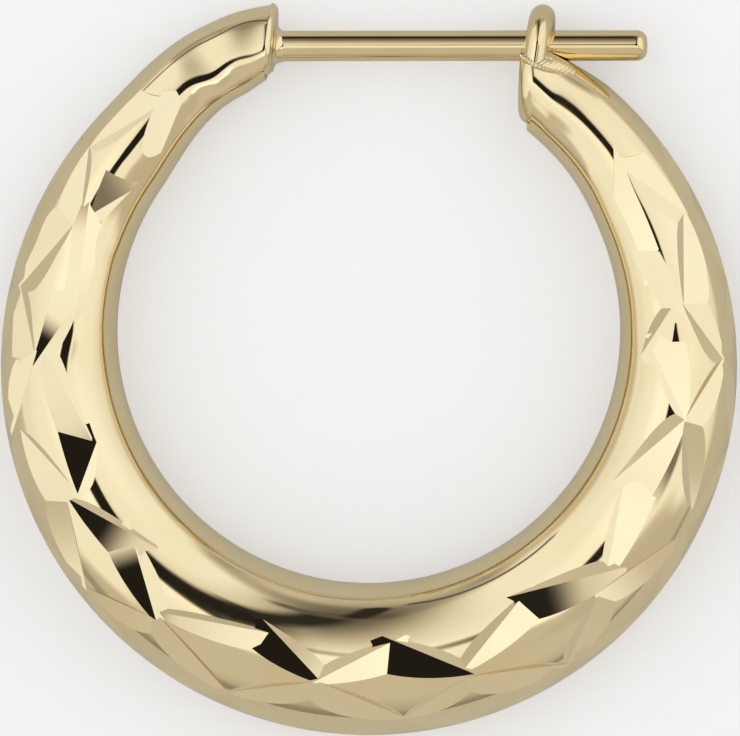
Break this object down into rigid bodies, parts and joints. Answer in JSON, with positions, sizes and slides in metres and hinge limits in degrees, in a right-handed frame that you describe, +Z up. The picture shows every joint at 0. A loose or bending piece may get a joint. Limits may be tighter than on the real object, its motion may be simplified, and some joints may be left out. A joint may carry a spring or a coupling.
{
  "type": "hoop earring",
  "caption": "Open tapered creole hoop earring with diamond-cut lozenges, a straight ear post across its gap and a small wire catch that the post lies in.",
  "frame": {"origin": "middle of the outline, on the surface the earring lies on", "axes": "+X along the ear post to its tip, +Y from the thick bottom of the hoop to the post, +Z up, out of the surface it lies on"},
  "size_m": [0.024, 0.0238, 0.0043],
  "materials": {
    "polished_gold": "polished pale yellow gold"
  },
  "bodies": {
    "root": {"creole_hoop": "polished_gold"}
  },
  "joints": []
}
